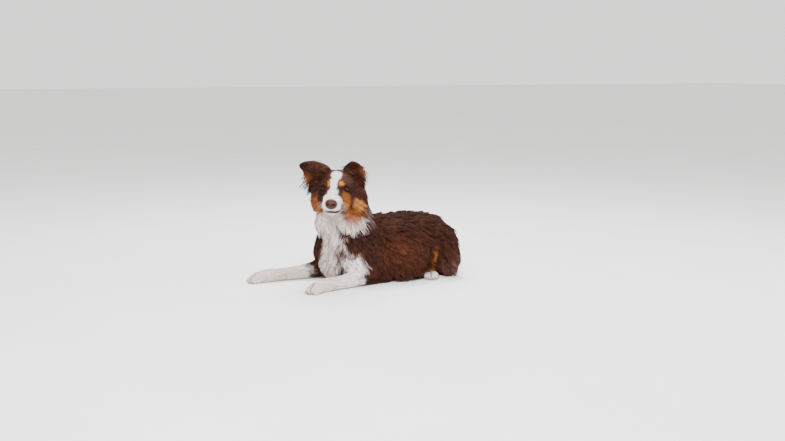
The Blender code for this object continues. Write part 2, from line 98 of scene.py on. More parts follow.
CAMERA_AZIMUTH = math.radians(-25.85)  # 0 looks along +Y
CAMERA_ELEVATION = math.radians(8.655)
CAMERA_DISTANCE = 3.153
CAMERA_TARGET = Vector((0.0948, -0.0463, -0.0045))  # from the middle of the CAD's box
CAMERA_LENS = 46.18  # mm
CAMERA_SENSOR = 36.0  # mm
FLOOR_SIZE = 30.0
WORLD_COLOUR = (1.0, 0.985, 0.97, 1.0)
WORLD_STRENGTH = 1.5
# Each light's place, diameter and power in watts; all aim at the dog's middle.
LIGHTS = {
    "key": ((-1.3, -2.4, 2.4), 1.3, 205),
    "fill": ((2.2, -1.6, 1.3), 1.6, 50),
    "top": ((0.4, 0.9, 2.4), 1.6, 95),
}

# Base colours, linear.
BROWN = (0.027, 0.0078, 0.0038)
FACE_BROWN = (0.040, 0.0120, 0.0062)
DARK = (0.012, 0.0045, 0.003)
ASH = (0.330, 0.260, 0.250)
MAUVE = (0.130, 0.060, 0.046)
TAN = (0.430, 0.140, 0.030)
PALE_TAN = (0.460, 0.180, 0.048)
RUST = (0.110, 0.027, 0.008)
ORANGE = (0.290, 0.080, 0.016)
AMBER = (0.195, 0.052, 0.012)
WHITE = (0.860, 0.800, 0.785)
BIB = (0.700, 0.615, 0.580)
# partly painted shade: the low bib's own greyish streaks and the shade on it, as one dull cream
SHADED_GREY_BIB = (0.440, 0.365, 0.335)
BLUSH = (0.700, 0.500, 0.440)
ROSE = (0.050, 0.018, 0.014)
# painted shade: the near black inside the nostrils and their groove
NOSTRIL_SHADE = (0.004, 0.002, 0.002)

rng = np.random.default_rng(7)
LATTICE = rng.random((32, 32, 32))


# ---- small maths on arrays


def unit(vectors):
    return vectors / np.maximum(np.linalg.norm(vectors, axis=-1, keepdims=True), 1e-12)


def ease(x, low, high):
    """0 below low, 1 above high, and a smooth rise between them."""
    t = np.clip((x - low) / (high - low), 0, 1)
    return t * t * (3 - 2 * t)


def noise(points, size, seed=0.0):
    """Smooth noise from -1 to 1 whose features are about size across."""
    q = points / size + 7.31 * seed
    cell = np.floor(q).astype(int)
    t = q - cell
    t = t * t * (3 - 2 * t)
    total = 0
    for corner in itertools.product((0, 1), repeat=3):
        share = np.where(corner, t, 1 - t).prod(axis=-1)
        index = (cell + corner) % len(LATTICE)
        total = total + share * LATTICE[index[..., 0], index[..., 1], index[..., 2]]
    return 2 * total - 1


def towards(values, goal, share):
    """The rows of values moved towards goal by each row's share."""
    return values + share[:, None] * (np.array(goal) - values)


def flatten(vectors, normals):
    """The vectors laid into the surface, at unit length."""
    return unit(vectors - normals * (vectors * normals).sum(axis=-1, keepdims=True))


# ---- places from the frame


def middle(node):
    low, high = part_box(node)
    return (low + high) / 2


def head_frame():
    """The head's frame: origin between the eyes, +X forward, +Y to its left, +Z up."""
    eyes = (middle("eye_l") + middle("eye_r")) / 2
    droop = math.atan2(-NOSE_MIDDLE[2], NOSE_MIDDLE[0])
    ahead = (middle("nose") - eyes).normalized()
    left = (middle("eye_l") - middle("eye_r")).normalized()
    above = ahead.cross(left)
    forward = ahead * math.cos(droop) + above * math.sin(droop)
    up = above * math.cos(droop) - ahead * math.sin(droop)
    turn = Matrix((forward, left, up)).transposed().to_4x4()
    return Matrix.Translation(eyes) @ turn


def in_frame(points, place):
    """Points of the row frame, in the frame of this matrix."""
    inverse = np.array(place.inverted())
    return points @ inverse[:3, :3].T + inverse[:3, 3]


def on_nodes(nodes, *names):
    """Which of these node numbers belong to the named nodes."""
    return np.isin(nodes, [NODE_NUMBER[name] for name in names])


def claw_middles(paw):
    return [middle(f"{paw}_claw_{number}") for number in CLAWS]


def toes_way(paw):
    """The level direction that the paw's toes point in."""
    way = sum(claw_middles(paw), Vector()) / len(CLAWS) - middle(paw)
    way.z = 0
    return np.array(way.normalized())


def lip_height(ahead):
    """The height of the line of the lips, in the head's frame, at this distance ahead."""
    return LIP_FRONT[2] + (LIP_FRONT[0] - ahead) * LIP_FALL


def ear_line(name):
    """(the middle of an ear's base, its tip, the direction that its back faces)."""
    points = vertex_places(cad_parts[name].data)
    far = np.linalg.norm(points - np.array(HEAD.translation), axis=1)
    order = np.argsort(far)
    thin = np.linalg.svd(points - points.mean(axis=0))[2][-1]
    return points[order[: len(points) // 3]].mean(axis=0), points[order[-1]], thin


def up_the_ear(points, base, tip):
    """Each point's place along the ear: 0 at its base, 1 at its tip."""
    return ((points - base) @ (tip - base)) / ((tip - base) @ (tip - base))


# ---- markings
# A patch is (frame, colour, strength, edge, middle, half axes), the last two in millimetres.
# In the head's frame the dog's left is +Y; in the body's frame, which is the row's, it is -Y.
# Later patches lie over earlier ones, and edge is the share of the half axes over which a
# patch fades.

PATCHES = [
    ("head", FACE_BROWN, 1.0, 0.3, (-10, 0, -10), (110, 110, 90)),
    ("body", RUST, 0.22, 0.5, (100, 0, 80), (160, 200, 70)),
    ("body", DARK, 0.45, 0.5, (190, -120, 120), (30, 50, 50)),
    ("body", MAUVE, 0.75, 0.5, (290, -120, 30), (55, 60, 50)),
    ("body", TAN, 0.62, 0.45, (213, -112, 74), (9.5, 34, 50)),
    ("body", ORANGE, 0.35, 0.7, (-68, -106, 120), (34, 30, 8)),
    ("body", DARK, 0.45, 0.6, (-20, -110, 135), (50, 60, 50)),
    # forelegs
    ("body", WHITE, 1.0, 0.18, (-90, -125, 50), (62, 60, 70)),
    ("body", WHITE, 1.0, 0.18, (-170, -120, 20), (130, 55, 55)),
    ("body", WHITE, 1.0, 0.18, (-252, 85, 20), (124, 60, 48)),
    ("body", BLUSH, 0.35, 0.5, (-210, -135, 12), (110, 50, 30)),
    ("body", BLUSH, 0.45, 0.5, (-250, 90, 16), (110, 60, 36)),
    # hind toes
    ("body", WHITE, 0.9, 0.3, (196, -112, 12), (34, 24, 30)),
    ("body", WHITE, 0.9, 0.3, (128, 145, 12), (34, 30, 30)),
    # bib
    ("body", BIB, 1.0, 0.16, (-126, -8, 216), (88, 118, 40)),
    ("body", BIB, 1.0, 0.25, (-66, -88, 206), (36, 40, 20)),
    ("body", BIB, 1.0, 0.16, (-145, -36, 160), (68, 80, 60)),
    ("body", BIB, 1.0, 0.16, (-140, -40, 80), (50, 50, 95)),
    # partly painted shade: the low bib is greyed for its own streaks and for the shade that falls
    # on it
    ("body", SHADED_GREY_BIB, 0.7, 0.5, (-140, -40, 90), (45, 60, 80)),
    ("body", ASH, 0.45, 0.8, (-6, -90, 236), (15, 30, 30)),
    # head
    ("head", MAUVE, 0.65, 0.5, (-20, 36, 36), (30, 26, 22)),
    ("head", MAUVE, 0.45, 0.5, (-45, 0, 52), (30, 30, 20)),
    ("head", DARK, 0.70, 0.5, (8, 33, -4), (20, 17, 14)),
    ("head", DARK, 0.70, 0.5, (8, -34, -6), (20, 19, 20)),
    ("head", DARK, 0.75, 0.5, (-52, -76, -62), (40, 18, 40)),
    ("head", DARK, 0.55, 0.6, (-50, -70, 0), (30, 20, 30)),
    ("head", TAN, 0.95, 0.3, (6, 18.5, 13.5), (16, 8.5, 7.5)),
    ("head", TAN, 0.80, 0.3, (6, -17.5, 12.5), (16, 5.5, 10)),
    ("head", TAN, 0.75, 0.4, (26, 33, -40), (32, 11, 34)),
    ("head", PALE_TAN, 0.95, 0.3, (-10, 66, -48), (32, 16, 23)),
    ("head", ORANGE, 0.90, 0.4, (0, 50, -78), (38, 30, 22)),
    ("head", AMBER, 1.0, 0.3, (-22, -58, -56), (36, 24, 34)),
    ("head", ORANGE, 0.45, 0.6, (-60, -92, 20), (20, 14, 14)),
    ("head", WHITE, 1.0, 0.16, (-16, 2, 36), (28, 17, 13)),
    ("head", WHITE, 1.0, 0.22, (10, -3, 12), (34, 10, 40)),
    ("head", WHITE, 1.0, 0.16, (40, -3, -12), (30, 16.5, 16)),
    ("head", WHITE, 1.0, 0.14, (64, -8, -38), (44, 35, 32)),
    ("head", WHITE, 1.0, 0.14, (44, -10, -70), (54, 32, 20)),
    ("head", BLUSH, 0.30, 0.5, (80, 0, -46), (20, 26, 22)),
]
# Along the eye's axis, from the eyeball's middle, 0, to the front of the cornea, 1.
EYE_COLOURS = [
    (0.00, (0.060, 0.030, 0.024)),
    (0.60, (0.050, 0.022, 0.016)),
    (0.68, (0.004, 0.002, 0.002)),
    (0.73, (0.030, 0.012, 0.004)),
    (0.84, (0.058, 0.026, 0.008)),
    (0.935, (0.032, 0.013, 0.004)),
    (0.962, (0.001, 0.001, 0.001)),
]
CLAW_COLOURS = [(0.3, (0.10, 0.062, 0.046)), (0.7, (0.34, 0.24, 0.185))]
WHISKER_COLOURS = [(0.3, (0.55, 0.48, 0.44)), (0.7, (0.85, 0.82, 0.80))]
FLOOR_COLOURS = [(0.3, (0.80, 0.80, 0.80)), (0.7, (0.84, 0.84, 0.835))]
EAR_LINING = {"ear_l": (0.190, 0.053, 0.017), "ear_r": (0.072, 0.028, 0.018)}


def coat_colour(points, nodes):
    """The coat's colour at these points, which lie on these CAD nodes."""
    frames = {"body": points, "head": in_frame(points, HEAD)}
    wobble = 0.20 * noise(points, 0.020, 1) + 0.12 * noise(points, 0.008, 2)
    colour = np.tile(BROWN, (len(points), 1))
    near_head = np.linalg.norm(frames["head"] + (0.02, 0, 0), axis=1) < 0.135
    for where, paint, strength, edge, centre, radii in PATCHES:
        offset = frames[where] - np.array(centre) / 1000
        away = np.linalg.norm(offset / (np.array(radii) / 1000), axis=1) + wobble
        share = strength * (1 - ease(away, 1 - edge, 1 + edge))
        if where == "head":
            share = share * near_head
        colour = towards(colour, paint, share)
    colour = paint_ears(colour, points, nodes)
    for paw in PAWS:
        # painted shade: the coat darkens towards a dim pink in the grooves between the toes
        between = 0.8 * toe_groove(points, paw) * on_nodes(nodes, paw)
        colour = towards(colour, 0.35 * np.array(BLUSH), between)
    pale = ease(colour.mean(axis=1), 0.45, 0.65)
    freckles = pale * 0.42 * ease(noise(points, 0.0085, 3), 0.30, 0.62) * (points[:, 2] < 0.10)
    colour = towards(colour, BLUSH, freckles)
    mottle = 1 + (0.22 - 0.17 * pale) * noise(points, 0.045, 4) + 0.06 * noise(points, 0.016, 5)
    return np.clip(colour * mottle[:, None], 0.004, 0.86)


def paint_ears(colour, points, nodes):
    """Dark ear tips, and a lighter lining on the side that faces forward."""
    for ear, lining in EAR_LINING.items():
        on_ear = on_nodes(nodes, ear)
        if not on_ear.any():
            continue
        base, tip, _ = EARS[ear]
        share = up_the_ear(points, base, tip)
        colour = towards(colour, DARK, 0.75 * ease(share, 0.55, 1.0) * on_ear)
        local = in_frame(points, HEAD)
        inside = 0.8 * ease(local[:, 0], -0.066, -0.052) * on_ear
        inside *= ease(share, -0.15, 0.05) * (1 - ease(share, 0.45, 0.85))
        colour = towards(colour, lining, inside)
    return colour


# ---- the skin as arrays


def vertex_places(mesh):
    places = np.empty(len(mesh.vertices) * 3)
    mesh.vertices.foreach_get("co", places)
    return places.reshape(-1, 3)


class Surface:
    """A closed mesh of quads, as arrays, with what smoothing and sampling need."""

    def __init__(self, mesh):
        self.points = vertex_places(mesh)
        edges = np.empty(len(mesh.edges) * 2, int)
        mesh.edges.foreach_get("vertices", edges)
        self.edges = edges.reshape(-1, 2)
        corners = np.empty(len(mesh.loops), int)
        mesh.loops.foreach_get("vertex_index", corners)
        self.quads = corners.reshape(-1, 4)
        self.valence = np.bincount(self.edges.ravel(), minlength=len(self.points))

    def neighbours(self, field):
        """The mean of the field over each vertex's neighbours."""
        a, b = self.edges.T
        columns = field.reshape(len(field), -1).T
        count = len(self.points)
        sums = [np.bincount(a, c[b], count) + np.bincount(b, c[a], count) for c in columns]
        return (np.array(sums).T / self.valence[:, None]).reshape(field.shape)

    def blur(self, field, rounds):
        for _ in range(rounds):
            field = field + 0.5 * (self.neighbours(field) - field)
        return field

    def normals(self):
        corner = self.points[self.quads]
        flat = np.cross(corner[:, 2] - corner[:, 0], corner[:, 3] - corner[:, 1])
        total = [
            sum(np.bincount(self.quads[:, k], flat[:, axis], len(self.points)) for k in range(4))
            for axis in range(3)
        ]
        return unit(np.array(total).T)

    def bvh(self):
        return BVHTree.FromPolygons(self.points.tolist(), self.quads.tolist())


def applied(obj, kind, **settings):
    """The object's mesh after one modifier; the object itself is removed."""
    modifier = obj.modifiers.new(kind.title(), kind)
    for key, value in settings.items():
        setattr(modifier, key, value)
    bpy.context.view_layer.update()
    graph = bpy.context.evaluated_depsgraph_get()
    mesh = bpy.data.meshes.new_from_object(obj.evaluated_get(graph))
    bpy.data.objects.remove(obj)
    return mesh


def put(name, data):
    """A new object that shows this data."""
    obj = bpy.data.objects.new(name, data)
    bpy.context.scene.collection.objects.link(obj)
    return obj


def built(name, bm):
    """A new object with the bmesh's shape; the bmesh is freed."""
    mesh = bpy.data.meshes.new(name)
    bm.to_mesh(mesh)
    bm.free()
    return put(name, mesh)


def paint_mesh(mesh, colours):
    """Gives the mesh the colour attribute Coat, one colour per vertex."""
    attribute = mesh.color_attributes.new("Coat", "FLOAT_COLOR", "POINT")
    opaque = np.hstack([colours, np.ones((len(colours), 1))]).astype(np.float32)
    attribute.data.foreach_set("color", opaque.ravel())


def ring_quads(rings, around, closed=False):
    """Quads between neighbouring rings of points, the last ring with the first if closed."""
    row, k = np.divmod(np.arange((rings if closed else rings - 1) * around), around)
    beyond = (row + 1) % rings
    after = (k + 1) % around
    corners = [row * around + k, row * around + after, beyond * around + after, beyond * around + k]
    return np.stack(corners, axis=1)


def array_mesh(name, points, faces, colours=None, uv=None):
    """A smooth-shaded mesh from arrays; colours are per vertex, uv per face corner."""
    sides = faces.shape[1]
    mesh = bpy.data.meshes.new(name)
    mesh.vertices.add(len(points))
    mesh.vertices.foreach_set("co", points.astype(np.float32).ravel())
    mesh.loops.add(faces.size)
    mesh.loops.foreach_set("vertex_index", faces.astype(np.int32).ravel())
    mesh.polygons.add(len(faces))
    mesh.polygons.foreach_set("loop_start", np.arange(0, faces.size, sides, dtype=np.int32))
    mesh.update(calc_edges=True)
    mesh.shade_smooth()
    if colours is not None:
        paint_mesh(mesh, colours)
    if uv is not None:
        layer = mesh.uv_layers.new(name="OFBake")
        layer.data.foreach_set("uv", uv.astype(np.float32).ravel())
    return mesh


def blended_flesh(names):
    """One closed surface of quads round all these nodes."""
    bm = bmesh.new()
    for name in names:
        bm.from_mesh(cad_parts[name].data)
    bmesh.ops.remove_doubles(bm, verts=bm.verts, dist=WELD)
    bm.normal_update()
    for vert in bm.verts:
        vert.co += vert.normal * CUT_CLOSING
    for paw in PAWS:
        add_toes(bm, paw)
    flesh = built("flesh", bm)
    return Surface(applied(flesh, "REMESH", mode="VOXEL", voxel_size=SKIN_VOXEL, adaptivity=0.0))


def add_toes(bm, paw):
    """A rounded toe behind each claw of this paw."""
    way = Vector(toes_way(paw))
    for claw in claw_middles(paw):
        centre = Vector((claw.x, claw.y, TOE_REACH.z * 0.92)) - way * TOE_REACH.x * 0.94
        turn = way.to_track_quat("X", "Z").to_matrix().to_4x4()
        size = Matrix.Diagonal((*TOE_REACH, 1.0))
        bmesh.ops.create_uvsphere(
            bm, u_segments=20, v_segments=12, radius=1.0,
            matrix=Matrix.Translation(centre) @ turn @ size,
        )


def nearest(points, targets):
    """The number of the target that each point lies nearest to."""
    tree = KDTree(len(targets))
    for number, target in enumerate(targets.tolist()):
        tree.insert(target, number)
    tree.balance()
    return np.array([tree.find(point)[1] for point in points.tolist()])


def nearest_nodes(points, names):
    """The number of the CAD node that each point lies nearest to."""
    verts, faces, owner = [], [], []
    for number, name in enumerate(names):
        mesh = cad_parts[name].data
        start = len(verts)
        verts += [vert.co for vert in mesh.vertices]
        faces += [[start + i for i in face.vertices] for face in mesh.polygons]
        owner += [number] * len(mesh.polygons)
    tree = BVHTree.FromPolygons(verts, faces)
    return np.array([owner[tree.find_nearest(point)[2]] for point in points.tolist()])


def both(name, row):
    """The same row for the left and the right node of this name."""
    return {f"{name}_l": row, f"{name}_r": row}


# How the coat grows on each node: depth of the coat over the skin, length and width of a lock
# and the spacing of their roots, all in millimetres, then how far a lock stands off the skin,
# from 0, lying on it, to 1, straight out.
PAW_HAIR = (0.9, 5.5, 1.0, 1.9, 0.00)
GROWTH = {
    "head": (8.0, 30, 2.2, 2.6, 0.05),
    "lower_jaw": (1.5, 9, 1.3, 2.0, 0.00),
    **both("ear", (1.2, 15, 1.5, 2.4, 0.00)),
    "neck": (13.0, 48, 2.8, 3.0, 0.10),
    "trunk": (12.5, 33, 2.5, 2.85, 0.12),
    "tail": (14.0, 38, 2.7, 3.0, 0.20),
    **both("upper_arm", (9.0, 34, 2.6, 3.0, 0.08)),
    **both("forearm", (3.0, 14, 1.7, 2.5, 0.00)),
    **both("forepaw", PAW_HAIR),
    "thigh_l": (12.0, 38, 2.8, 3.1, 0.12),
    "thigh_r": (12.0, 38, 2.8, 3.1, 0.14),
    **both("shank", (6.0, 26, 2.2, 3.0, 0.05)),
    **both("hindpaw", PAW_HAIR),
}
EAR_EDGE = (1.2, 30, 2.0, 1.15, 0.80)  # the fringe along an ear's rim
CHEEK_RUFF = (9.0, 36, 2.3, 2.3, 0.34)  # behind and below the ears
FACE = (2.6, 12, 1.00, 1.85, 0.0)  # between the muzzle and the skull
MUZZLE = (1.1, 5.5, 0.75, 1.45, 0.0)

# The coat's pieces, by the nodes whose hair they hold.
COATS = {
    "coat_head": ["head", "lower_jaw"],
    "coat_ears": ["ear_l", "ear_r"],
    "coat_neck": ["neck", "upper_arm_r"],
    "coat_left": ["trunk"],
    "coat_right": ["trunk"],
    "coat_shoulder": ["upper_arm_l", "shank_l", "shank_r"],
    "coat_haunches": ["thigh_l", "thigh_r", "tail"],
    "coat_legs": ["forearm_l", "forearm_r", *PAWS],
}


def growth_fields(skin, nodes):
    """Depth, length, width and spacing at each vertex, in metres, and the stand."""
    fields = np.array([GROWTH[name] for name in FLESH], float)[nodes]
    ahead, aside, above = in_frame(skin.points, HEAD).T
    on_head = on_nodes(nodes, "head", "lower_jaw")
    back = ease(np.hypot(ahead - 0.02, aside * 0.9), 0.050, 0.085)
    fields = towards(fields, FACE, on_head * (1 - back))
    fields = towards(fields, MUZZLE, on_head * ease(ahead, 0.012, 0.045))
    ruff = on_head * ease(np.abs(aside), 0.040, 0.056)
    ruff *= 1 - ease(ahead, -0.045, -0.015)
    ruff *= 1 - ease(above, 0.020, 0.040)
    fields = towards(fields, CHEEK_RUFF, ruff)
    sharp = skin.blur(fields, 12)
    on_face = skin.blur(on_nodes(nodes, "head", "lower_jaw", *EARS).astype(float), 6)[:, None]
    fields = skin.blur(fields, 55) * (1 - on_face) + sharp * on_face
    normals = skin.normals()
    for ear, (base, tip, back) in EARS.items():
        mask = on_nodes(nodes, ear)
        share = up_the_ear(skin.points, base, tip)
        rim = (1 - ease(np.abs(normals @ back), 0.40, 0.80)) * (1 - 0.75 * ease(share, 0.35, 0.9))
        rim *= 1 - 0.75 * ease(normals[:, 2], 0.1, 0.7)
        rim = np.where(mask, np.maximum(rim, 0.30 * (1 - ease(share, 0.0, 0.4))), 0.0)
        fields[:, 1:] = towards(fields[:, 1:], EAR_EDGE[1:], rim)
    for paw in PAWS:
        fields[:, :3] *= 1 - 0.55 * toe_groove(skin.points, paw)[:, None]
    for eye in EYES:
        away = np.linalg.norm(skin.points - np.array(middle(eye)), axis=1)
        fields[:, :2] *= 1 - np.array((0.45, 0.60)) * (1 - ease(away, 0.011, 0.024))[:, None]
    fields[:, :4] /= 1000
    return fields


def smooth_by(skin, weight, rounds):
    for _ in range(rounds):
        skin.points += weight[:, None] * (skin.neighbours(skin.points) - skin.points)


def open_eyes(skin):
    """Raises a mound round each eye, with a pit in it for the eyeball and its lids."""
    for eye in EYES:
        place = eye_frame(eye, EYE_SPLAY)
        ahead, across, above = in_frame(skin.points, place).T
        aside = np.hypot(across / 1.3, above)
        mound = EYE_RADIUS + 0.0004 - 0.55 * np.maximum(aside - 0.0050, 0.0)
        low = (aside < 0.016) & (ahead > -0.006) & (ahead < mound)
        raised = np.where(low, (mound - ahead) * (1 - ease(aside, 0.010, 0.016)), 0.0)
        pit = EYE_RADIUS - 0.0036 + 0.030 * ease(aside, 0.0040, 0.0098)
        sunk = (np.abs(ahead) < 0.035) & (aside < 0.0110)
        pushed = np.where(sunk, np.maximum(ahead + raised - pit, 0.0), 0.0)
        skin.points += (raised - pushed)[:, None] * np.array(place.to_3x3().col[0])


def part_lips(skin):
    """Presses the line of the mouth in."""
    ahead, _, above = in_frame(skin.points, HEAD).T
    near = np.exp(-(((above - lip_height(ahead)) / LIP_CREASE_WIDTH) ** 2))
    reach = ease(ahead, LIP_CORNER[0], LIP_CORNER[0] + 0.02)
    skin.points -= (LIP_CREASE_DEPTH * near * reach)[:, None] * skin.normals()


def toe_groove(points, paw):
    """How deep a point is in the grooves between this paw's toes, from 0 to 1."""
    claws = [np.array(claw) for claw in claw_middles(paw)]
    back = -toes_way(paw)
    deepest = np.zeros(len(points))
    for one, other in zip(claws, claws[1:]):
        offset = points - (one + other) / 2
        along = offset @ back
        aside = np.abs(offset @ unit(other - one))
        groove = np.exp(-((aside / TOE_CREASE_WIDTH) ** 2)) * ease(along, -0.022, -0.006)
        groove *= (1 - ease(along, 0.020, 0.038)) * (offset[:, 2] < 0.03)
        deepest = np.maximum(deepest, groove)
    return deepest


def part_toes(skin):
    """Presses the grooves between neighbouring toes in."""
    for paw in PAWS:
        room = ease(skin.points[:, 2], 0.002, 0.010)
        skin.points[:, 2] -= TOE_CREASE_DEPTH * toe_groove(skin.points, paw) * room


def make_skin():
    """(the skin as arrays, its nodes' numbers, its growth fields)."""
    skin = blended_flesh(FLESH)
    nodes = nearest_nodes(skin.points, FLESH)
    fields = growth_fields(skin, nodes)
    depth = fields[:, 0]
    firm = np.where(on_nodes(nodes, *PAWS) | (depth < 0.002), 0.25, 0.6)
    smooth_by(skin, firm, 8)
    for _ in range(DRAWING_IN_STEPS):
        skin.points -= skin.normals() * (depth / DRAWING_IN_STEPS)[:, None]
        smooth_by(skin, 0.7 * ease(depth, 0.002, 0.010), 2)
    part_toes(skin)
    part_lips(skin)
    open_eyes(skin)
    skin.points[:, 2] = np.maximum(skin.points[:, 2], FLOOR_CLEARANCE)
    return skin, nodes, fields


# ---- the lie of the coat


def lie_of_coat(skin, nodes):
    """The direction that the hair lies in at each vertex."""
    points, normals = skin.points, skin.normals()
    lie = np.zeros_like(points)
    lie[:] = (0.35, 0, -1)

    def comb(names, way):
        here = on_nodes(nodes, *names)
        lie[here] = np.broadcast_to(way, lie.shape)[here]

    to_back = ease(points[:, :1], -0.08, 0.05)
    to_rump = ease(points[:, :1], 0.20, 0.30)
    flow = (1 - to_back) * (-0.10, 0, -1) + to_back * (1.0, 0, -0.55)
    comb(["trunk"], (1 - to_rump) * flow + to_rump * (0.5, 0, -1.0))
    comb(["neck"], (0.25, 0, -1) + normals[:, :1] * (0.45, 0, 0))
    comb(["thigh_l", "thigh_r"], (0.55, 0, -0.8))
    comb(["shank_l", "shank_r"], (1.0, 0, -0.3))
    for side in "lr":
        down_the_leg = np.array(middle(f"forepaw_{side}") - middle(f"forearm_{side}"))
        comb([f"forearm_{side}"], unit(down_the_leg) + (0, 0, -0.35))
    for paw in PAWS:
        comb([paw], toes_way(paw))
    comb(["tail"], tail_lie(points))
    comb(["head", "lower_jaw"], head_lie(points))
    for ear, (base, tip, _) in EARS.items():
        axis = unit(tip - base)
        offset = points - base
        off_axis = offset - (offset @ axis)[:, None] * axis
        comb([ear], axis + 30 * off_axis + (0, 0, -0.25))
    lie = flatten(unit(lie), normals)
    for _ in range(3):
        lie = flatten(skin.blur(lie, 8), normals)
    return lie


def tail_lie(points):
    """Along the tail, from its root at the rump round to its tip."""
    spans = np.diff(TAIL_LINE, axis=0)
    centres = (TAIL_LINE[1:] + TAIL_LINE[:-1]) / 2
    nearness = 1 / (np.linalg.norm(points[:, None] - centres[None], axis=2) ** 4 + 1e-9)
    return unit(nearness @ unit(spans)) + (0, 0, -0.15)


def head_lie(points):
    """From the nose back over the face, and down and out on the cheeks."""
    ahead, aside, above = in_frame(points, HEAD).T
    low = 1 - ease(above, -0.060, 0.005)
    out = ease(np.abs(aside), 0.015, 0.05)
    behind = 1 - ease(ahead, -0.06, 0.03)
    way = [
        -1.0 + 0.45 * behind * low,
        np.tanh(aside / 0.02) * out * (0.25 + 0.65 * behind),
        0.35 * (1 - low) - low * (0.20 + 0.95 * behind),
    ]
    return np.stack(way, axis=1) @ np.array(HEAD.to_3x3()).T


# ---- locks


def bare(points):
    """How far hair is kept off: 1 at the eyes, the nose and the line of the mouth."""
    away = np.ones(len(points))
    for eye in EYES:
        ahead, across, above = in_frame(points, eye_frame(eye, EYE_SPLAY)).T
        far = np.hypot(across / 1.35, above)
        away *= np.where(np.abs(ahead) < 0.03, ease(far, 0.0052, 0.0056), 1)
    local = in_frame(points, HEAD)
    nose = np.linalg.norm((local - NOSE_MIDDLE) / (0.0150, 0.0200, 0.0155), axis=1)
    away *= ease(nose, 0.98, 1.05)
    ahead, aside, above = local.T
    lips = (np.abs(above - lip_height(ahead)) < 0.0026) & (ahead > LIP_CORNER[0] + 0.004)
    away *= ~(lips & (np.abs(aside) < 0.04))
    away *= points[:, 2] > 0.0035
    return 1 - away


def unwrapped(skin, chosen):
    """The UV of each corner of the chosen quads, from an unwrap of the skin's own shape."""
    used, faces = np.unique(skin.quads[chosen], return_inverse=True)
    obj = put("unwrap", array_mesh("unwrap", skin.points[used], faces.reshape(-1, 4)))
    bpy.context.view_layer.objects.active = obj
    obj.select_set(True)
    bpy.ops.object.mode_set(mode="EDIT")
    bpy.ops.mesh.select_all(action="SELECT")
    bpy.ops.uv.smart_project(angle_limit=math.radians(66), island_margin=0.002)
    bpy.ops.object.mode_set(mode="OBJECT")
    uv = np.empty(len(obj.data.loops) * 2)
    obj.data.uv_layers.active.data.foreach_get("uv", uv)
    bpy.data.objects.remove(obj)
    return uv.reshape(-1, 4, 2)


def sample_roots(skin, chosen, spacing, uv):
    """(weights on the corners, corner indices, UV) of roots spread evenly over the quads."""
    corner = skin.points[skin.quads[chosen]]
    crossed = np.cross(corner[:, 2] - corner[:, 0], corner[:, 3] - corner[:, 1])
    area = 0.5 * np.linalg.norm(crossed, axis=1)
    gap = spacing[skin.quads[chosen]].mean(axis=1)
    wanted = area / gap**2 * (1 - bare(corner.mean(axis=1)))
    total = np.cumsum(wanted)
    count = int(total[-1])
    picks = np.searchsorted(total, (np.arange(count) + rng.random(count)) * total[-1] / count)
    picks = np.minimum(picks, len(chosen) - 1)
    a, b = rng.random((2, count))
    weights = np.stack([(1 - a) * (1 - b), a * (1 - b), a * b, (1 - a) * b], axis=1)
    return weights, skin.quads[chosen[picks]], (uv[picks] * weights[:, :, None]).sum(axis=1)


def follow(tree, roots, normals, lie, length, height, stand, spans):
    """Paths over the skin: (points, normals), each roots x (spans + 1) x 3.

    A lock with some stand leaves the skin for a free arc that droops under its own weight.
    """
    path, normal_path = [roots], [normals]
    ground, way = roots, lie
    for span in range(1, spans + 1):
        ahead = ground + way * (length / spans)[:, None]
        found = [tree.find_nearest(point) for point in ahead.tolist()]
        ground = np.array([hit[0] for hit in found])
        here = np.array([hit[1] for hit in found])
        here = np.where((here * normals).sum(axis=1, keepdims=True) < -0.2, normals, here)
        way = flatten(way, here)
        t = span / spans
        path.append(ground + here * (height * (1 - (1 - t) ** LOCK_ARCH))[:, None])
        normal_path.append(here)
    path = np.stack(path, axis=1)
    t = np.linspace(0, 1, spans + 1)[None, :, None]
    reach = length[:, None, None] * t
    heading = unit(lie * (1 - stand[:, None]) + normals * stand[:, None])[:, None]
    free = roots[:, None] + heading * reach + (0, 0, -LOCK_DROOP) * reach * t
    path += np.clip(1.5 * stand, 0, 1)[:, None, None] * (free - path)
    return path, np.stack(normal_path, axis=1)


def gather(path, roots, pull):
    """Draws each lock's tip towards that of the lock that leads its tuft: (paths, tufts)."""
    count = len(roots)
    leaders = rng.permutation(count)[: max(1, count // TUFT_SIZE)]
    tuft = nearest(roots, roots[leaders])
    goal = path[leaders[tuft]]
    t = np.linspace(0, 1, path.shape[1])[None, :, None] ** 1.3
    apart = np.linalg.norm(goal - path, axis=2, keepdims=True)
    hold = np.minimum(1, TUFT_PULL / np.maximum(apart, 1e-6))
    return path + pull[:, None, None] * t * hold * (goal - path), tuft


# From a lock's root, 0, to its tip, 1: its width, and the shade of a dark and of a pale lock. A
# dark lock's lighter tips are partly the hair's own paler tips and partly painted highlight.
LOCK_TAPER = ([0, 0.33, 0.67, 1], [0.70, 1.0, 0.72, 0.1])
DARK_LOCK_SHADE = ([0, 0.35, 0.7, 1], [0.45, 0.85, 1.25, 1.6])
PALE_LOCK_SHADE = ([0, 0.35, 1], [0.80, 0.98, 1.06])


def lock_faces(spans):
    """The triangles of one lock, each corner as (ring, point of the ring)."""
    faces = [[(0, 0), (0, 2), (0, 1)]]
    for ring in range(spans - 1):
        for k in range(3):
            low, high = (ring, k), (ring + 1, k)
            low_next, high_next = (ring, k + 1), (ring + 1, k + 1)
            faces += [[low, low_next, high_next], [low, high_next, high]]
    tip = (spans, 0)
    faces += [[(spans - 1, k), (spans - 1, k + 1), tip] for k in range(3)]
    return faces


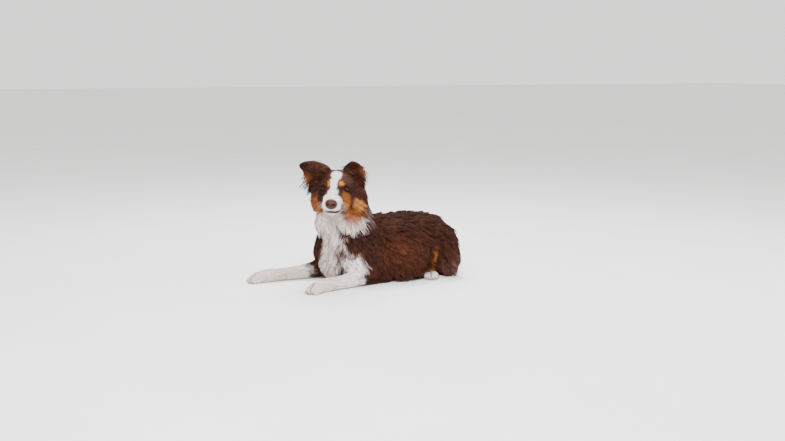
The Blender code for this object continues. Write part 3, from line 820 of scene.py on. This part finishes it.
def lock_mesh(path, normals, width, root_colour, root_uv):
    """(points, triangles, colours, uv) of closed, tapering locks along these paths."""
    count, rings = path.shape[0], path.shape[1] - 1
    way = unit(np.gradient(path, axis=1))
    side = unit(np.cross(way, normals))
    lift = unit(np.cross(side, way))
    roll = rng.normal(0, 0.45, (count, 1, 1))
    cos, sin = np.cos(roll), np.sin(roll)
    side, lift = side * cos + lift * sin, lift * cos - side * sin
    t = np.arange(rings) / rings
    half = (width[:, None] * np.interp(t, *LOCK_TAPER) / 2)[..., None]
    body, across, above = path[:, :-1], side[:, :-1] * half, lift[:, :-1] * half * 0.75
    ring = np.stack([body - across, body + across, body + above], axis=2)
    points = np.concatenate([ring.reshape(count, -1, 3), path[:, -1:]], axis=1)
    faces = lock_faces(rings)
    index = np.array([[3 * r + (k % 3 if r < rings else 0) for r, k in face] for face in faces])
    spot = np.array([[(k / 3, r / rings) for r, k in face] for face in faces])
    per_lock = 3 * rings + 1
    triangles = index[None] + (per_lock * np.arange(count))[:, None, None]
    uv = np.clip(root_uv[:, None, None] + TUFT_PATCH * (spot[None] - 0.5), 0, 1)
    rise = np.append(np.repeat(t, 3), 1.0)
    pale = ease(root_colour.mean(axis=1), 0.30, 0.55)[:, None]
    # partly painted highlight: a dark lock lightens and turns mauve towards its tip, for paler hair
    # tips and for the coat's sheen
    dark_shade = np.interp(rise, *DARK_LOCK_SHADE)
    shade = dark_shade + pale * (np.interp(rise, *PALE_LOCK_SHADE) - dark_shade)
    colours = root_colour[:, None] * shade[..., None]
    colours += (0.14 * rise**2 * (1 - pale))[..., None] * (np.array(MAUVE) - 0.5 * colours)
    return (
        points.reshape(-1, 3), triangles.reshape(-1, 3),
        colours.reshape(-1, 3), uv.reshape(-1, 2),
    )


def make_locks(skin, tree, fields, lie, normals, nodes, roots):
    """The mesh arrays of the locks that grow from these roots."""
    weights, corners, root_uv = roots

    def at_roots(values):
        return (values[corners] * weights[..., None]).sum(axis=1)

    points = at_roots(skin.points)
    depth, length, width, _, stand = at_roots(fields).T
    normal = unit(at_roots(normals))
    way = flatten(at_roots(lie), normal)
    owner = nodes[corners[:, 0]]
    count = len(points)
    sway = 0.45 * noise(points, 0.035, 6) + 0.30 * noise(points, 0.012, 7)
    sway += rng.normal(0, 0.10, count)
    sway *= ease(length, 0.005, 0.030)
    aside = np.cross(normal, way)
    way = way * np.cos(sway)[:, None] + aside * np.sin(sway)[:, None]
    length = length * (1 + 0.22 * noise(points, 0.020, 8)) * rng.uniform(0.72, 1.12, count)
    width = width * rng.uniform(0.65, 1.2, count)
    stand = stand * rng.uniform(0.3, 1.3, count)
    height = depth * (0.82 + 0.28 * noise(points, 0.028, 9)) * rng.uniform(0.45, 1.12, count)
    ruffle = ease(length, 0.018, 0.035)
    colour = coat_colour(points, owner)
    colour *= np.exp(rng.normal(0, 0.16, (count, 1)) * (1 - 0.6 * ease(colour[:, :1], 0.4, 0.7)))
    made = []
    for spans, chosen in ((2, length < LONG_LOCK), (3, length >= LONG_LOCK)):
        if not chosen.any():
            continue
        guides = [field[chosen] for field in (points, normal, way, length, height, stand)]
        path, path_normals = follow(tree, *guides, spans)
        path, tuft = gather(path, points[chosen], 0.35 + 0.40 * ruffle[chosen])
        lift = rng.normal(0.05, 0.34, tuft.max() + 1)[tuft] * height[chosen]
        lift *= 0.4 + 0.6 * ruffle[chosen]
        t = np.linspace(0, 1, spans + 1)
        path += path_normals * (lift[:, None] * t**1.5)[..., None]
        tone = np.exp(rng.normal(0, 0.13, tuft.max() + 1))[tuft]
        pale = ease(colour[chosen].mean(axis=1), 0.4, 0.65)
        tinted = colour[chosen] * (tone ** (1 - 0.7 * pale))[:, None]
        made.append(lock_mesh(path, path_normals, width[chosen], tinted, root_uv[chosen]))
    return joined(made)


def joined(parts):
    """Several (points, triangles, colours, uv) as one, kept off the floor."""
    starts = np.cumsum([0] + [len(part[0]) for part in parts[:-1]])
    points = np.concatenate([part[0] for part in parts])
    faces = np.concatenate([part[1] + start for part, start in zip(parts, starts)])
    points[:, 2] = np.maximum(points[:, 2], FLOOR_CLEARANCE)
    colours, uv = (np.concatenate([part[k] for part in parts]) for k in (2, 3))
    return points, faces, np.clip(colours, 0, 0.9), uv


def make_coat(skin, nodes, fields, paint):
    """Every coat piece, standing on the skin."""
    tree = skin.bvh()
    normals = skin.normals()
    lie = lie_of_coat(skin, nodes)
    quad_node = nodes[skin.quads[:, 0]]
    quad_middle = skin.points[skin.quads].mean(axis=1)
    facing_floor = (normals[skin.quads[:, 0], 2] < -0.6) & (quad_middle[:, 2] < 0.012)
    left = quad_middle[:, 1] < 0
    for name, members in COATS.items():
        picked = on_nodes(quad_node, *members) & ~facing_floor
        if name in ("coat_left", "coat_right"):
            picked &= left == (name == "coat_left")
        chosen = np.flatnonzero(picked)
        roots = sample_roots(skin, chosen, fields[:, 3], unwrapped(skin, chosen))
        locks = make_locks(skin, tree, fields, lie, normals, nodes, roots)
        finish_piece(put(name, array_mesh(name, *locks)), paint, "brown_coat")


# ---- materials


def new_material(name, rough, shine=0.5):
    """(material, its nodes, its links, its Principled shader)."""
    made = bpy.data.materials.new(name)
    made.use_nodes = True
    tree = made.node_tree
    shader = tree.nodes["Principled BSDF"]
    shader.inputs["Roughness"].default_value = rough
    shader.inputs["Specular IOR Level"].default_value = shine
    return made, tree.nodes, tree.links, shader


def noise_node(nodes, links, scale, detail=3.0):
    place = nodes.new("ShaderNodeTexCoord")
    made = nodes.new("ShaderNodeTexNoise")
    made.inputs["Scale"].default_value = scale
    made.inputs["Detail"].default_value = detail
    links.new(place.outputs["Object"], made.inputs["Vector"])
    return made.outputs["Fac"]


def add_bump(nodes, links, shader, height, strength, distance):
    bump = nodes.new("ShaderNodeBump")
    bump.inputs["Strength"].default_value = strength
    bump.inputs["Distance"].default_value = distance
    links.new(height, bump.inputs["Height"])
    links.new(bump.outputs["Normal"], shader.inputs["Normal"])


def ramp(nodes, links, value, stops):
    """A colour ramp over value, from (position, colour) stops."""
    made = nodes.new("ShaderNodeValToRGB")
    elements = made.color_ramp.elements
    while len(elements) < len(stops):
        elements.new(0.5)
    for element, (position, colour) in zip(elements, stops):
        element.position = position
        element.color = (*colour, 1.0)
    links.new(value, made.inputs["Fac"])
    return made.outputs["Color"]


def grey(value):
    return (value, value, value)


def shade_coat(nodes, links, shader, shade, strength):
    """Sets the base colour: the mesh's attribute Coat, multiplied by this shade."""
    colour = nodes.new("ShaderNodeAttribute")
    colour.attribute_name = "Coat"
    mix = nodes.new("ShaderNodeMix")
    mix.data_type = "RGBA"
    mix.blend_type = "MULTIPLY"
    mix.inputs["Factor"].default_value = strength
    links.new(colour.outputs["Color"], mix.inputs["A"])
    links.new(shade, mix.inputs["B"])
    links.new(mix.outputs["Result"], shader.inputs["Base Color"])


def hair_material(name, grain, depth):
    """The coat's own colours from the mesh, with a grain about a millimetre across."""
    made, nodes, links, shader = new_material(name, 0.6, 0.08)
    grains = noise_node(nodes, links, grain, 4.0)
    shade = ramp(nodes, links, grains, [(0.25, grey(0.72)), (0.75, grey(1.22))])
    shade_coat(nodes, links, shader, shade, 0.8)
    add_bump(nodes, links, shader, grains, 0.5, depth)
    return made


def leather_material():
    """Pinkish-brown nose leather: fine cobbles, a soft shine, and painted shade in the creases from
    the mesh's colours.
    """
    made, nodes, links, shader = new_material("nose_leather", 0.38, 0.11)
    place = nodes.new("ShaderNodeTexCoord")
    cobbles = nodes.new("ShaderNodeTexVoronoi")
    cobbles.inputs["Scale"].default_value = 900.0
    links.new(place.outputs["Object"], cobbles.inputs["Vector"])
    tone = noise_node(nodes, links, 220.0)
    shade = ramp(nodes, links, tone, [(0.3, grey(0.8)), (0.7, grey(1.15))])
    shade_coat(nodes, links, shader, shade, 1.0)
    add_bump(nodes, links, shader, cobbles.outputs["Distance"], 0.6, 0.0004)
    return made


def toned_material(name, rough, scale, stops, shine=0.5, bump=None):
    """Two tones mixed by noise; bump is (strength, distance)."""
    made, nodes, links, shader = new_material(name, rough, shine)
    tone = noise_node(nodes, links, scale)
    links.new(ramp(nodes, links, tone, stops), shader.inputs["Base Color"])
    if bump:
        add_bump(nodes, links, shader, tone, *bump)
    return made


def lip_material(name, dark, light, rough=0.42, shine=0.12):
    stops = [(0.35, dark), (0.65, light)]
    return toned_material(name, rough, 260.0, stops, shine, (0.4, 0.0004))


def eye_material():
    """Pupil, amber iris, dark rim, then a brownish white, with slightly uneven borders."""
    made, nodes, links, shader = new_material("eye", 0.25, 0.03)
    shader.inputs["Coat Weight"].default_value = 0.22
    shader.inputs["Coat Roughness"].default_value = 0.02
    place = nodes.new("ShaderNodeTexCoord")
    split = nodes.new("ShaderNodeSeparateXYZ")
    links.new(place.outputs["Object"], split.inputs["Vector"])
    reach = nodes.new("ShaderNodeMath")
    reach.operation = "MULTIPLY"
    reach.inputs[1].default_value = 1 / (1.06 * EYE_RADIUS)  # the cornea's swell included
    links.new(split.outputs["X"], reach.inputs[0])
    waver = nodes.new("ShaderNodeMath")
    waver.operation = "MULTIPLY_ADD"
    waver.inputs[1].default_value = 0.03
    links.new(noise_node(nodes, links, 900.0, 2.0), waver.inputs[0])
    links.new(reach.outputs["Value"], waver.inputs[2])
    colours = ramp(nodes, links, waver.outputs["Value"], EYE_COLOURS)
    links.new(colours, shader.inputs["Base Color"])
    return made


# ---- features of the face


def eye_frame(eye, splay):
    """The eye's own frame: origin at its middle, +X the way it looks."""
    turn = (HEAD.to_3x3() @ Matrix.Rotation(EYES[eye] * splay, 3, "Z")).to_4x4()
    return Matrix.Translation(middle(eye)) @ turn


def finish_piece(obj, material, slot, *nodes):
    """Material and body of one piece, and the CAD nodes that it stands for; slot is not used."""
    obj.data.materials.append(material)
    obj.data.shade_smooth()
    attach(obj, "root")
    if nodes:
        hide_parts(*nodes)


def make_eyeball(eye, material):
    """A ball with a slight swell where the cornea is."""
    bm = bmesh.new()
    bmesh.ops.create_uvsphere(bm, u_segments=64, v_segments=40, radius=EYE_RADIUS)
    bm.transform(Matrix.Rotation(math.radians(90), 4, "Y"))
    for vert in bm.verts:
        vert.co.x += CORNEA_SWELL * float(ease(vert.co.x / EYE_RADIUS, 0.70, 0.95))
    ball = built(f"{eye}ball", bm)
    ball.matrix_world = eye_frame(eye, GAZE_SPLAY)
    finish_piece(ball, material, "eye", eye)


def make_lids(eye, material):
    """Both lids as one closed shell on the eyeball, round an almond-shaped opening."""
    around, rows = 64, 9  # points in each ring, and rings in each layer
    angles = 2 * math.pi * np.arange(around) / around
    c, s = np.cos(angles - EYES[eye] * LID_TILT), np.sin(angles - EYES[eye] * LID_TILT)
    high = LID_HIGH * np.where(s > 0, 1.0, 0.82)
    almond = (np.abs(c) / LID_WIDE) ** LID_POWER + (np.abs(s) / high) ** LID_POWER
    opening = 1 / almond ** (1 / LID_POWER)
    t = np.linspace(0, 1, rows)[:, None]
    theta = opening + (LID_REACH - opening) * t
    ray = np.stack(
        [np.cos(theta), np.sin(theta) * np.cos(angles), np.sin(theta) * np.sin(angles)], axis=-1
    )
    swell = 0.0007 + 0.0005 * ease(t, 0.0, 0.12) - 0.0008 * ease(t, 0.15, 0.6)
    outer = (EYE_RADIUS + swell)[..., None] * ray
    inner = (EYE_RADIUS + 0.0002) * ray
    points = np.concatenate([outer, inner[::-1]]).reshape(-1, 3)
    faces = ring_quads(2 * rows, around, closed=True)[:, ::-1]
    lids = put(f"{eye}_lids", array_mesh(f"{eye}_lids", points, faces))
    lids.matrix_world = eye_frame(eye, EYE_SPLAY)
    finish_piece(lids, material, "nose_leather")


def make_nose(material):
    """The nose leather: a rounded wedge with comma-shaped nostrils and a groove between them."""
    rings, around = 90, 128
    polar = np.linspace(0, math.pi, rings)[:, None]
    turn = np.linspace(0, 2 * math.pi, around, endpoint=False)[None]
    x = np.cos(polar) + 0 * turn
    z = np.sin(polar) * np.sin(turn)
    ball = np.stack([x, np.sin(polar) * np.cos(turn), z], axis=-1)
    local = np.sign(ball) * np.abs(ball) ** 0.92 * NOSE_HALF
    local[..., 1] *= 1 - 0.26 * ease(-z, 0.0, 1.0) + 0.03 * ease(z, 0, 1)
    across, height = local[..., 1], local[..., 2]
    pit = np.zeros_like(x)
    for side in (1, -1):  # each nostril is a round hole with a slit outwards from it
        hole = ((side * across - 0.0072) / 0.0030) ** 2 + ((height + 0.0012) / 0.0027) ** 2
        pit += ease(x, 0.35, 0.7) * np.exp(-hole)
        slit = ((side * across - 0.0114) / 0.0038) ** 2 + ((height + 0.0004) / 0.0011) ** 2
        pit += 0.55 * ease(x, 0.0, 0.4) * np.exp(-slit)
    groove = np.exp(-((across / 0.0008) ** 2)) * ease(-height, -0.004, 0.003)
    groove *= ease(x, 0.1, 0.6)
    local[..., 0] -= 0.0062 * np.clip(pit, 0, 1) + 0.0011 * groove
    # painted shade: the nostrils and the groove between them are coloured near black where they
    # sink in
    dark = np.clip(1.3 * pit + 0.6 * groove, 0, 1).reshape(-1, 1)
    top = ease(z, 0.2, 0.9).reshape(-1, 1)
    colours = np.array(ROSE) * (1 - 0.25 * top) * (1 - dark) + np.array(NOSTRIL_SHADE) * dark
    points = local.reshape(-1, 3) + NOSE_MIDDLE
    mesh = array_mesh("nose_pad", points, ring_quads(rings, around), colours)
    bm = bmesh.new()
    bm.from_mesh(mesh)
    bmesh.ops.remove_doubles(bm, verts=bm.verts, dist=WELD)
    bmesh.ops.recalc_face_normals(bm, faces=bm.faces)
    bm.to_mesh(mesh)
    bm.free()
    pad = put("nose_pad", mesh)
    pad.matrix_world = HEAD
    finish_piece(pad, material, "nose_leather", "nose")


def mouth_line(tree, drop):
    """Points on the skin along the mouth, corner to corner, drop below the line of the lips."""
    line = []
    for share in np.linspace(-1, 1, MOUTH_POINTS):
        turn = share * MOUTH_REACH
        inside = Vector((0.060 - 0.022 * abs(share), 0, 0))
        aim = Vector((math.cos(turn), math.sin(turn) * 0.9, 0))
        inside.z = lip_height(inside.x) - drop
        start = HEAD @ (inside + aim * 0.08)
        hit = tree.ray_cast(start, HEAD.to_3x3() @ -aim)[0]
        if hit is not None:
            line.append(hit)
    return line


def add_tube(bm, rings):
    """Faces round these rings of vertices, with a cap at each end."""
    for low, high in zip(rings, rings[1:]):
        for k in range(len(low)):
            after = (k + 1) % len(low)
            bm.faces.new((low[k], low[after], high[after], high[k]))
    bm.faces.new(rings[0][::-1])
    bm.faces.new(rings[-1])


def tube(name, line, radius):
    """A closed tube along the line that thins towards both ends."""
    points = np.array([tuple(p) for p in line])
    for _ in range(3):
        points[1:-1] = (points[:-2] + 2 * points[1:-1] + points[2:]) / 4
    way = unit(np.gradient(points, axis=0))
    up = np.tile(np.array(HEAD.to_3x3().col[2]), (len(points), 1))
    out = unit(np.cross(up, way))
    up = unit(np.cross(way, out))
    t = np.linspace(-1, 1, len(points))
    reach = radius * (0.25 + 0.75 * np.sqrt(np.clip(1 - t**2, 0, 1)))[:, None]
    turns = [2 * math.pi * k / 12 for k in range(12)]
    sides = [points + reach * (out * math.cos(turn) + up * math.sin(turn)) for turn in turns]
    bm = bmesh.new()
    add_tube(bm, [[bm.verts.new(point) for point in ring] for ring in np.stack(sides, axis=1)])
    bmesh.ops.recalc_face_normals(bm, faces=bm.faces)
    return built(name, bm)


def make_lips(tree):
    """The edges of both lips, and between them a near-black tube of painted shade where they part.
    """
    rim = lip_material("lip", (0.030, 0.011, 0.010), (0.085, 0.034, 0.030))
    # painted shade: the near-black tube where the lips part
    inside = lip_material("mouth", (0.006, 0.002, 0.002), (0.030, 0.008, 0.008))
    for name, drop, radius, material in (
        ("upper_lip", -0.0022, 0.0012, rim),
        ("mouth_line", 0.0, 0.0019, inside),
        ("lower_lip", 0.0022, 0.0012, rim),
    ):
        finish_piece(tube(name, mouth_line(tree, drop), radius), material, "nose_leather")


def make_whiskers(tree, material):
    """Fine tapering whiskers on both sides of the muzzle."""
    bm = bmesh.new()
    head = HEAD.to_3x3()
    for side, row, column in itertools.product((1, -1), range(3), range(4)):
        ahead = 0.074 - 0.009 * column - 0.003 * row
        start = HEAD @ Vector((ahead, side * 0.08, -0.030 - 0.0065 * row))
        hit = tree.ray_cast(start, head @ Vector((0, -side, 0)))[0]
        if hit is None:
            continue
        length = rng.uniform(0.018, 0.028)
        sink = -0.30 - 0.25 * row + rng.normal(0, 0.12)
        way = (head @ Vector((0.15 - 0.20 * column, side * 1.0, sink))).normalized()
        droop = Vector((0, 0, -0.22 * length))
        turn = way.to_track_quat("Z", "X").to_matrix().to_4x4()
        rings = []
        for t in (0.0, 0.35, 0.7, 1.0):
            place = Matrix.Translation(hit + way * (length * t - 0.001) + droop * t * t) @ turn
            radius = WHISKER_RADIUS * (1 - 0.9 * t)
            ring = bmesh.ops.create_circle(bm, segments=5, radius=radius, matrix=place)
            rings.append(ring["verts"])
        add_tube(bm, rings)
    bmesh.ops.recalc_face_normals(bm, faces=bm.faces)
    finish_piece(built("whiskers", bm), material, "white_coat")


def blunt_claw(bm, way):
    """Draws the claw's point back by a quarter of its reach along way."""
    way = Vector(way)
    reach = [vert.co.dot(way) for vert in bm.verts]
    low, high = min(reach), max(reach)
    for vert, far in zip(list(bm.verts), reach):
        vert.co -= way * 0.25 * (high - low) * ((far - low) / (high - low)) ** 2


def make_claws(material):
    """Each claw, rounded from its CAD solid."""
    for name in sorted(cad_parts):
        if "_claw_" not in name:
            continue
        bm = bmesh.new()
        bm.from_mesh(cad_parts[name].data)
        bmesh.ops.remove_doubles(bm, verts=bm.verts, dist=WELD)
        blunt_claw(bm, toes_way(name.split("_claw_")[0]))
        rough = built(f"{name}_nail", bm)
        nail = put(f"{name}_nail", applied(rough, "SUBSURF", levels=2, render_levels=2))
        finish_piece(nail, material, "claw", name)


def make_skin_piece(skin, nodes):
    """The skin as one mesh, thinned, in the coat's colours."""
    rough = put("rough_skin", array_mesh("rough_skin", skin.points, skin.quads))
    mesh = applied(rough, "DECIMATE", ratio=SKIN_FACES / (2 * len(skin.quads)))
    points = vertex_places(mesh)
    owner = nodes[nearest(points, skin.points)]
    paint_mesh(mesh, SKIN_SHADE * coat_colour(points, owner))
    finish_piece(put("skin", mesh), hair_material("skin", 1400.0, 0.0006), "brown_coat", *FLESH)


# ---- stage


def make_floor():
    bm = bmesh.new()
    bmesh.ops.create_grid(bm, x_segments=1, y_segments=1, size=FLOOR_SIZE)
    floor = built("floor", bm)
    floor.data.materials.append(toned_material("floor", 0.75, 3.0, FLOOR_COLOURS))


def area_light(name, place, size, power, target):
    data = bpy.data.lights.new(name, "AREA")
    data.shape = "DISK"
    data.size = size
    data.energy = power
    light = put(name, data)
    light.location = place
    light.rotation_euler = (target - Vector(place)).to_track_quat("-Z", "Y").to_euler()


def make_stage():
    """Floor, soft lights, a pale surround and the camera."""
    make_floor()
    world = bpy.data.worlds.new("studio")
    world.use_nodes = True
    background = world.node_tree.nodes["Background"]
    background.inputs["Color"].default_value = WORLD_COLOUR
    background.inputs["Strength"].default_value = WORLD_STRENGTH
    bpy.context.scene.world = world
    centre = (CAD_BOX[0] + CAD_BOX[1]) / 2
    for name, (place, size, power) in LIGHTS.items():
        area_light(name, place, size, power, centre)
    target = centre + CAMERA_TARGET
    look = Vector((
        -math.sin(CAMERA_AZIMUTH) * math.cos(CAMERA_ELEVATION),
        math.cos(CAMERA_AZIMUTH) * math.cos(CAMERA_ELEVATION),
        -math.sin(CAMERA_ELEVATION),
    ))
    data = bpy.data.cameras.new("camera")
    data.lens = CAMERA_LENS
    data.sensor_width = CAMERA_SENSOR
    camera = put("camera", data)
    camera.location = target - look * CAMERA_DISTANCE
    camera.rotation_euler = look.to_track_quat("-Z", "Y").to_euler()
    bpy.context.scene.camera = camera


# ---- the dog

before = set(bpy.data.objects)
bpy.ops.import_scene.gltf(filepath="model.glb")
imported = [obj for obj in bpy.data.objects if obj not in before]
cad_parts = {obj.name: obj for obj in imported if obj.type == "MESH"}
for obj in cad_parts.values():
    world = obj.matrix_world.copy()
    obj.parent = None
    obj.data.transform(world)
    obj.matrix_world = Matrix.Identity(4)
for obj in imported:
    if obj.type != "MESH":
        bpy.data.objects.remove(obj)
CAD_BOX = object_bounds()
FLESH = list(GROWTH)
NODE_NUMBER = {name: number for number, name in enumerate(FLESH)}
HEAD = head_frame()
EYE_RADIUS = (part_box("eye_l")[1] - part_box("eye_l")[0]).z / 2

EARS = {name: ear_line(name) for name in ("ear_l", "ear_r")}
TAIL_LOW, TAIL_HIGH = (np.array(corner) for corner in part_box("tail"))
# The tail leaves the rump high up, drops along the dog's left and curls round behind it; its
# points are shares of its box.
TAIL_LINE = TAIL_LOW + (TAIL_HIGH - TAIL_LOW) * np.array([
    (0.00, 0.45, 0.85),
    (0.28, 0.28, 0.75),
    (0.36, 0.20, 0.40),
    (0.50, 0.25, 0.18),
    (0.72, 0.50, 0.14),
    (0.82, 0.78, 0.10),
    (0.78, 0.97, 0.05),
])

skin, nodes, fields = make_skin()
make_coat(skin, nodes, fields, hair_material("coat", 1100.0, 0.0003))
make_skin_piece(skin, nodes)
skin_tree = skin.bvh()
eye_paint = eye_material()
lid_paint = lip_material("lid", (0.005, 0.002, 0.002), (0.018, 0.007, 0.005), 0.65, 0.04)
for eye in EYES:
    make_eyeball(eye, eye_paint)
    make_lids(eye, lid_paint)
make_nose(leather_material())
make_lips(skin_tree)
make_whiskers(skin_tree, toned_material("whisker", 0.4, 90.0, WHISKER_COLOURS))
make_claws(toned_material("claw", 0.35, 700.0, CLAW_COLOURS, bump=(0.3, 0.0002)))
make_stage()
